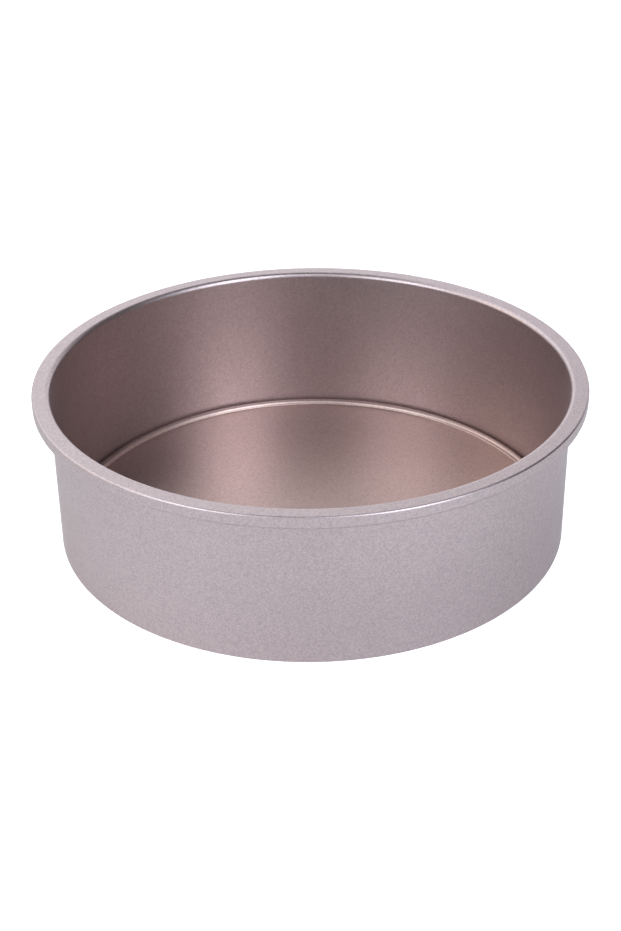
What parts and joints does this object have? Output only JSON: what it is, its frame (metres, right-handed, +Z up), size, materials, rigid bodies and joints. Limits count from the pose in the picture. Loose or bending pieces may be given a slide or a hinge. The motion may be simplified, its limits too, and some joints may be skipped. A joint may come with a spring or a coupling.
{
  "type": "loose-bottom cake pan",
  "caption": "Round cake pan with a loose bottom: a sheet ring with a rolled rim and an inward ledge, and a beaded base plate that lies on the ledge and lifts out through the top.",
  "frame": {"origin": "centre of the foot, on the surface that the pan stands on", "axes": "+Z up along the axis of the round pan; the pan is the same all round, so X and Y are level and free"},
  "size_m": [0.2172, 0.2172, 0.065],
  "materials": {
    "ring_coating": "satin champagne non-stick coating with a fine metallic fleck, over steel sheet",
    "base_coating": "the same satin champagne non-stick coating, over steel sheet"
  },
  "bodies": {
    "ring": {"pan_ring": "ring_coating"},
    "base": {"loose_base": "base_coating"}
  },
  "joints": [
    {"name": "base_lift", "type": "slide", "parent": "ring", "child": "base", "axis": [0, 0, 1], "range_m": [0, 0.08]}
  ]
}
